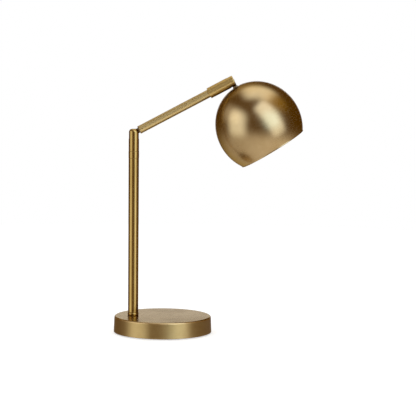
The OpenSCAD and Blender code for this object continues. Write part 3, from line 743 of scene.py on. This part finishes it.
class MakeKnuckles(bpy.types.Operator):
    """The slotted knuckles that hold the arm and the shade"""

    bl_idname = "desk_lamp.make_knuckles"
    bl_label = "Knuckles"

    def execute(self, context):
        sizes, colours = context.scene.lamp_sizes, context.scene.lamp_colours
        fine, slot = sizes.fine_edge, CHEEK + SLOT_PLAY
        seat, slot_floor = HEAD_START + SEAT_LIFT, HINGES["arm_tilt"][2] - ARM_SLOT
        head = rounded(
            [(0, seat), (HEAD_R, seat), (HEAD_R, HEAD_END), (0, HEAD_END)],
            [0, fine, sizes.head_round, 0], 10)
        brass = satin_brass("satin_knuckle", POLE, colours.pole, rough=0.2, lines=0.3, lacquer=0.0,
                            pull=0.3)
        piece = turned("arm_knuckle", POLE, head, sizes.sides, closed=False, finishes=[brass])
        cut(piece,
            block(POLE, (-BLADE, -slot, slot_floor), (BLADE, slot, HEAD_END + PAST)),
            bar(POLE, BOLT_R + THREAD_GAP, HEAD_START - PAST, HEAD_START + PAST),
            bar(POLE, ARM_WIRE, HEAD_START, HEAD_START + ARM_WIRE_END),
            *pivot_holes("arm_tilt", HEAD_R, ARM_SCREW, ARM_SCREW_HEAD))
        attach(piece, "head")
        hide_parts("lower_knuckle")

        pivot_at = np.linalg.norm(HINGES["shade_tilt"] - HINGES["arm_tilt"])
        sleeve = rounded(
            [(0, SLEEVE_START), (SLEEVE_R, SLEEVE_START), (SLEEVE_R, SLEEVE_END), (0, SLEEVE_END)],
            [0, fine, sizes.sleeve_round, 0], 8)
        # the sleeve's underside is darkened as painted shade
        brass = satin_brass("satin_sleeve", ARM, colours.sleeve, rough=0.34, lines=0.4, under=SLEEVE_R)
        piece = turned("shade_sleeve", ARM, sleeve, sizes.sides, closed=False, finishes=[brass])
        cut(piece,
            block(ARM, (-BLADE, -slot, pivot_at - SHADE_SLOT), (BLADE, slot, SLEEVE_END + PAST)),
            bar(ARM, TUBE_R + THREAD_GAP, SLEEVE_START - PAST, TUBE_END),
            bar(ARM, SHADE_WIRE, SLEEVE_START, pivot_at - SHADE_WIRE_END),
            *pivot_holes("shade_tilt", SLEEVE_R, SHADE_SCREW, SHADE_SCREW_HEAD))
        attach(piece, "arm")
        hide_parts("shade_knuckle")
        return {"FINISHED"}


class MakeArm(bpy.types.Operator):
    """The arm's straight tube"""

    bl_idname = "desk_lamp.make_arm"
    bl_label = "Arm tube"

    def execute(self, context):
        sizes, colours = context.scene.lamp_sizes, context.scene.lamp_colours
        bore, fine = TUBE_R - TUBE_WALL, sizes.fine_edge
        profile = rounded(
            [(bore, TUBE_START), (TUBE_R, TUBE_START), (TUBE_R, TUBE_END), (bore, TUBE_END)],
            [0, fine, fine, 0], 4)
        # the tube's underside is darkened as painted shade
        brass = satin_brass("satin_arm", ARM, colours.arm, rough=0.42, lines=0.4, under=TUBE_R)
        piece = turned("arm", ARM, profile, sizes.sides, finishes=[brass])
        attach(piece, "arm")
        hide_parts("arm_tube")
        return {"FINISHED"}


class MakeShade(bpy.types.Operator):
    """The spun dome with its rolled rim, brass outside and white enamel inside"""

    bl_idname = "desk_lamp.make_shade"
    bl_label = "Dome shade"

    def execute(self, context):
        sizes, colours = context.scene.lamp_sizes, context.scene.lamp_colours
        a, b, mid = DOME_R, sizes.crown, sizes.belly
        t, bead = sizes.shade_sheet, sizes.rim_bead

        def wall(turn, inset):
            """The ellipse (a cos, mid + b sin), moved square to itself by the inset."""
            q = np.hypot(b * np.cos(turn), a * np.sin(turn))
            return np.stack([
                a * np.cos(turn) - inset * b * np.cos(turn) / q,
                mid + b * np.sin(turn) - inset * a * np.sin(turn) / q], axis=1)

        # the wall starts where it leaves the bead and ends at the flat on the crown
        rim_turn = -math.asin((mid - bead) / b)
        grip = math.sqrt(bead ** 2 - (t / 2) ** 2)
        first = rim_turn + grip / math.hypot(a * math.sin(rim_turn), b * math.cos(rim_turn))
        turns = np.linspace(first, math.asin((DOME_TOP - mid) / b), WALL_STEPS)
        outer, inner = wall(turns, 0), wall(turns, t)
        inner = inner[inner[:, 1] < DOME_TOP - t]
        crown = np.array([(outer[-1, 0] * 0.8, DOME_TOP), (STEM_HOLE, DOME_TOP), (STEM_HOLE, DOME_TOP - t),
                          (inner[-1, 0] * 0.9, DOME_TOP - t)])
        # the bead is a circle round the rim's middle, from the inner wall's end to the outer wall's
        centre = np.array((wall(np.array([rim_turn]), t / 2)[0, 0], bead))
        start, end = (math.degrees(math.atan2(*(point - centre)[::-1])) for point in (inner[0], outer[0]))
        curl = arc_points(centre, bead, start, end + 360 if end < start else end, BEAD_STEPS)[1:-1]
        profile = np.concatenate([outer, crown, inner[::-1], curl])
        # enamel from the hole's lower edge, over the inner wall, to nearly a third of the way round the bead
        zones = np.zeros(len(profile), np.int32)
        zones[len(outer) + 2:len(outer) + len(crown) + len(inner) + 6] = 1
        brass = satin_brass("satin_dome", SHADE, colours.brass, colours.brass_rough, lines=0.5)
        enamel = white_enamel("shade_enamel", colours.enamel)
        piece = turned("dome", SHADE, profile, sizes.sides + 32, zones=zones, finishes=[brass, enamel])
        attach(piece, "shade")
        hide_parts("dome_shade")
        return {"FINISHED"}


class MakeHolder(bpy.types.Operator):
    """The porcelain lampholder under the crown, with a shallow groove round it near its mouth"""

    bl_idname = "desk_lamp.make_holder"
    bl_label = "Lampholder"

    def execute(self, context):
        start, end, r = HOLDER_START, HOLDER_END, HOLDER_R
        neck, shoulder, cone = 0.009, end - 0.004, end - 0.012
        groove, deep = start + 0.005, r - 0.0007
        sleeve = reach("contact_sleeve", SHADE)[2] + 0.0001
        seat = reach("centre_contact", SHADE)[1]
        profile = rounded(
            [(0, end), (neck, end), (neck, shoulder), (r, cone), (r, groove + 0.0012),
             (deep, groove + 0.0005), (deep, groove - 0.0005), (r, groove - 0.0012), (r, start),
             (sleeve, start), (sleeve, seat), (0, seat)],
            [0, 0.0008, 0.0015, 0.003, 0.0005, 0.0004, 0.0004, 0.0005, 0.0015, 0.0008, 0.0002, 0], 6)
        glaze = glazed_porcelain("holder_glaze", context.scene.lamp_colours.porcelain)
        piece = turned("holder", SHADE, profile, SMALL_SIDES, closed=False, finishes=[glaze])
        cut(piece, bar(SHADE, STEM_HOLE, end - STEM_DEPTH, end + PAST), bar(SHADE, HOLDER_WIRE, start, end))
        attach(piece, "shade")
        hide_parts("lampholder")
        return {"FINISHED"}


class MakeBulb(bpy.types.Operator):
    """The bulb's opal glass, a ball that runs into a neck"""

    bl_idname = "desk_lamp.make_bulb"
    bl_label = "Bulb glass"

    def execute(self, context):
        r, start, end, t = GLASS_R, GLASS_START, GLASS_END, context.scene.lamp_sizes.glass
        cap = reach("bulb_cap", SHADE)[2]
        centre, mouth = (0, start + r), cap - CAP_WALL
        neck_turn = 46  # how far above its middle the ball runs into the neck, in degrees
        ball = arc_points(centre, r, -90, neck_turn, BALL_STEPS)
        inner_ball = arc_points(centre, r - t, -90, neck_turn, BALL_STEPS)
        # the neck is a cubic curve from the ball's end to the lip, which leaves the ball without a corner
        point, away = ball[-1], ball[-1] - ball[-2]
        lip = np.array((cap, end - CAP_DEPTH))
        gap = np.linalg.norm(lip - point)
        one, two = point + away / np.linalg.norm(away) * gap * 0.34, lip - np.array((0, 1)) * gap * 0.3
        share = np.linspace(0, 1, NECK_STEPS)[1:, None]
        neck = ((1 - share) ** 3 * point + 3 * (1 - share) ** 2 * share * one
                + 3 * (1 - share) * share ** 2 * two + share ** 3 * lip)
        tail = np.array([(mouth, end - CAP_DEPTH + 0.0004), (mouth, end), (mouth - t, end)])
        outer = np.concatenate([ball, neck, tail[:2]])
        inner = np.concatenate([inner_ball, neck[:-2] - (t, 0), tail[2:]])
        glass = opal_glass("bulb_opal", context.scene.lamp_colours.opal)
        piece = turned("bulb", SHADE, np.concatenate([outer, inner[::-1]]), SMALL_SIDES, closed=False,
                       finishes=[glass])
        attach(piece, "shade")
        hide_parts("bulb_glass")
        return {"FINISHED"}


class FinishFittings(bpy.types.Operator):
    """The finishes of the fittings whose solids show as they are"""

    bl_idname = "desk_lamp.finish_fittings"
    bl_label = "Fittings"

    def execute(self, context):
        colours = context.scene.lamp_colours
        # painted shade: the tongue and the shade's stem, which sit in shade between the knuckles, get a
        # darker copy of the brass
        shaded_tongue_brass = satin_brass("painted_shade_tongue", ARM, colours.tongue, rough=0.36, lines=0.8, lacquer=0.15)
        shaded_stem_brass = satin_brass("painted_shade_stem", SHADE, colours.tongue, rough=0.36, lines=0.8, lacquer=0.15)
        screw = satin_brass("satin_screw", POLE, colours.brass, rough=0.28, lines=0.3)
        bolt = satin_brass("satin_bolt", POLE, colours.bolt, rough=0.3, lines=0.6, lacquer=0.0)
        contact = satin_brass("bare_contact", SHADE, colours.contact, rough=0.22, lines=0.4, lacquer=0.0)
        zinc = dull_steel("zinc_plate", colours.zinc, rough=0.32, grain=1200.0)
        spring = dull_steel("spring_sheet", colours.spring, rough=0.28, grain=1500.0)
        cap_metal = dull_steel("cap_sheet", colours.cap, rough=0.25, grain=1500.0)
        iron = cast_iron("iron_cast", colours.iron)
        pad = foam_rubber("pad_foam", colours.foam, scale=2200.0, depth=0.00006)
        fibre = foam_rubber("washer_fibre", colours.fibre, scale=3000.0, depth=0.00001)
        for finish, nodes in (
            (shaded_tongue_brass, ["arm_tongue"]),
            (shaded_stem_brass, ["shade_stem"]),
            (screw, ["arm_screw", "shade_screw"]),
            (bolt, ["swivel_bolt", "swivel_nut", "base_rod"]),
            (contact, ["contact_sleeve", "centre_contact"]),
            (zinc, ["base_washer", "base_nut", "crown_washer", "crown_nut", "stop_pin"]),
            (spring, ["swivel_spring"]),
            (cap_metal, ["bulb_cap"]),
            (iron, ["base_weight"]),
            (pad, ["base_pad"]),
            (fibre, ["arm_friction_front", "arm_friction_back", "shade_friction_front",
                     "shade_friction_back"]),
        ):
            for node in nodes:
                NODES[node].data.materials.clear()
                NODES[node].data.materials.append(finish)
        return {"FINISHED"}


# ---- the studio ----


PANELS = (
    # side, rise and roll of each soft light in degrees, the tangents of half its width, half its height
    # and its soft edge, and its light
    (35, 25, 29, 0.4, 0.9, 0.36, (1.78, 2.15, 3.05)),
    (34, 19, 0, 0.36, 0.36, 0.4, (0.28, 0.78, 1.55)),
    (84, 56, 0, 0.4, 0.4, 0.6, (0.36, 0.26, 0.05)),
    (-61, 5, 0, 0.45, 0.48, 0.54, (1.36, 1.62, 2.1)),
    (-84, 20, 0, 0.54, 0.25, 0.4, (0.51, 0.55, 0.66)),
    (173, 80.5, 0, 0.48, 0.46, 0.5, (1.28, 1.5, 1.95)),
    (-156, 53.5, 0, 0.3, 0.59, 0.55, (0.36, 0.33, 0.27)),
    (180, 4, 0, 0.27, 0.2, 0.2, (1.09, 1.32, 1.95)),
)

FLOOR_R, FLOOR_DROP, FLOOR_SIDES = 1.5, 0.0001, 96


class SetStage(bpy.types.Operator):
    """The pale floor, the soft light and the camera"""

    bl_idname = "desk_lamp.set_stage"
    bl_label = "Stage"

    def execute(self, context):
        studio = context.scene.lamp_studio
        self.floor(context)
        self.world(context, studio)
        self.camera(context, studio)
        context.scene.view_settings.view_transform = "Standard"
        return {"FINISHED"}

    def floor(self, context):
        """A pale disc just under the lamp. Rays that metal mirrors go through it, and find the floor's
        light in the world instead, which has no edge."""
        mesh = bpy.data.meshes.new("floor")
        turn = np.arange(FLOOR_SIDES) * 2 * math.pi / FLOOR_SIDES
        ring = np.stack([FLOOR_R * np.cos(turn), FLOOR_R * np.sin(turn),
                         np.full(FLOOR_SIDES, -FLOOR_DROP)], axis=1)
        mesh.from_pydata(ring.tolist(), [], [list(range(FLOOR_SIDES))])
        floor = bpy.data.objects.new("floor", mesh)
        context.scene.collection.objects.link(floor)
        paint = Paint(bpy.data.materials.new("floor_pale"))
        seen, mirrored = paint.rays("Camera", "Glossy")

        def shader(kind, values=None):
            return Wire(paint, paint.node(kind, None, values).outputs[0])

        dull = shader("ShaderNodeBsdfDiffuse", {"Color": rgba((0.8, 0.8, 0.8))})
        lit = paint.tint((1.0, 1.0, 1.0), seen * 0.5)
        glow = shader("ShaderNodeEmission", {"Color": lit, "Strength": 1.0})
        pale = shader("ShaderNodeAddShader", {0: dull, 1: glow})
        clear = shader("ShaderNodeBsdfTransparent")
        both = shader("ShaderNodeMixShader", {0: mirrored, 1: pale, 2: clear})
        paint.node("ShaderNodeOutputMaterial", None, {"Surface": both})
        mesh.materials.append(paint.owner)

    def panel_light(self, x, y, z, side, rise, roll, half_w, half_h, edge):
        """1 in the directions of one soft light, falling smoothly to 0 over its edge. A direction's
        distances across and along the panel are divided by its depth, as on a flat panel at distance 1."""
        az, el, tilt = (math.radians(v) for v in (side, rise, roll))
        ahead = np.array((math.sin(az) * math.cos(el), -math.cos(az) * math.cos(el), math.sin(el)))
        right = np.array((math.cos(az), math.sin(az), 0.0))
        up = np.cross(right, ahead) * (1 if np.cross(right, ahead)[2] > 0 else -1)
        right, up = (right * math.cos(tilt) + up * math.sin(tilt),
                     up * math.cos(tilt) - right * math.sin(tilt))
        depth, across, along = (
            x * float(v[0]) + y * float(v[1]) + z * float(v[2]) for v in (ahead, right, up))
        safe = depth.highest(0.01)
        return ((1 - (across / safe).size().step(half_w - edge / 2, half_w + edge / 2))
                * (1 - (along / safe).size().step(half_h - edge / 2, half_h + edge / 2))
                * depth.step(0.02, 0.1))

    def floor_light(self, x, y, z):
        """How strong the light from below is. It grows from the horizon down, and towards the right, and
        falls towards the back and in a round patch under the arm's side."""
        beside, behind = x - 0.45, y - 0.15
        patch = 1 - (beside * beside + behind * behind).root().step(0.2, 0.5)
        return (0 - z).step(0.02, 0.62) * (1.1 + x * 0.35 - y.step(-0.3, 0.9) * 0.3 - patch * 0.75)

    def world(self, context, studio):
        """Soft panels and a floor's glow for mirrored rays, an even light for dull ones, and white for
        what the camera sees. Blender would sample the world without asking what kind of ray it is for,
        so that is off."""
        world = bpy.data.worlds.new("studio")
        context.scene.world = world
        world.cycles.sampling_method = "NONE"
        paint = Paint(world)
        towards = Wire(paint, paint.node("ShaderNodeTexCoord").outputs["Generated"])
        seen, mirrored, through = paint.rays("Camera", "Glossy", "Transmission")
        x, y, z = paint.parts(towards)
        room = tuple(studio.room)
        for *place, light in PANELS:
            room = paint.sum(room, paint.tint(light, self.panel_light(x, y, z, *place)))
        room = paint.sum(room, paint.tint(tuple(studio.floor), self.floor_light(x, y, z)))
        even = paint.tint((1.0, 1.0, 1.0), studio.level)
        light = paint.mix(mirrored, even, room)
        light = paint.mix(seen.highest(through), light, rgba((1, 1, 1)))
        glow = paint.node("ShaderNodeBackground", None, {"Color": light, "Strength": 1.0})
        paint.node("ShaderNodeOutputWorld", None, {"Surface": Wire(paint, glow.outputs[0])})

    def camera(self, context, studio):
        """The camera that takes the photograph's view."""
        down, roll = studio.camera_down, studio.camera_roll
        ahead = np.array((0, math.cos(down), -math.sin(down)))
        right = np.array((1.0, 0, 0))
        up = np.cross(right, ahead)
        x = right * math.cos(roll) + up * math.sin(roll)
        y = up * math.cos(roll) - right * math.sin(roll)
        eye = bpy.data.cameras.new("camera")
        eye.lens, eye.sensor_width, eye.sensor_fit = studio.lens, 36, "HORIZONTAL"
        eye.clip_end = 50
        camera = bpy.data.objects.new("camera", eye)
        placed = Matrix(np.stack([x, y, -ahead], axis=1).tolist()).to_4x4()
        placed.translation = studio.camera_start
        camera.matrix_world = placed
        context.scene.collection.objects.link(camera)
        context.scene.camera = camera


OPERATORS = (
    MakeBase, MakeGland, MakePole, MakeKnuckles, MakeArm, MakeShade, MakeHolder, MakeBulb,
    FinishFittings, SetStage,
)


class LampPanel(bpy.types.Panel):
    """Lists the lamp's pieces and what can be changed"""

    bl_idname = "VIEW3D_PT_desk_lamp"
    bl_label = "Desk lamp"
    bl_space_type = "VIEW_3D"
    bl_region_type = "UI"
    bl_category = "Desk lamp"

    def draw(self, context):
        scene = context.scene
        for group in (scene.lamp_sizes, scene.lamp_colours, scene.lamp_studio):
            box = self.layout.box()
            for name in group.bl_rna.properties.keys():
                if name not in ("rna_type", "name"):
                    box.prop(group, name)
        for operator in OPERATORS:
            self.layout.operator(operator.bl_idname)


GROUPS = (LampSizes, LampColours, LampStudio)


def register():
    for cls in GROUPS + OPERATORS + (LampPanel,):
        bpy.utils.register_class(cls)
    bpy.types.Scene.lamp_sizes = PointerProperty(type=LampSizes)
    bpy.types.Scene.lamp_colours = PointerProperty(type=LampColours)
    bpy.types.Scene.lamp_studio = PointerProperty(type=LampStudio)


def unregister():
    for name in ("lamp_sizes", "lamp_colours", "lamp_studio"):
        delattr(bpy.types.Scene, name)
    for cls in reversed(GROUPS + OPERATORS + (LampPanel,)):
        bpy.utils.unregister_class(cls)


def main():
    """Builds the lamp piece by piece."""
    register()
    for operator in OPERATORS:
        name = operator.bl_idname.split(".")[1]
        getattr(bpy.ops.desk_lamp, name)()


if __name__ == "__main__":
    main()
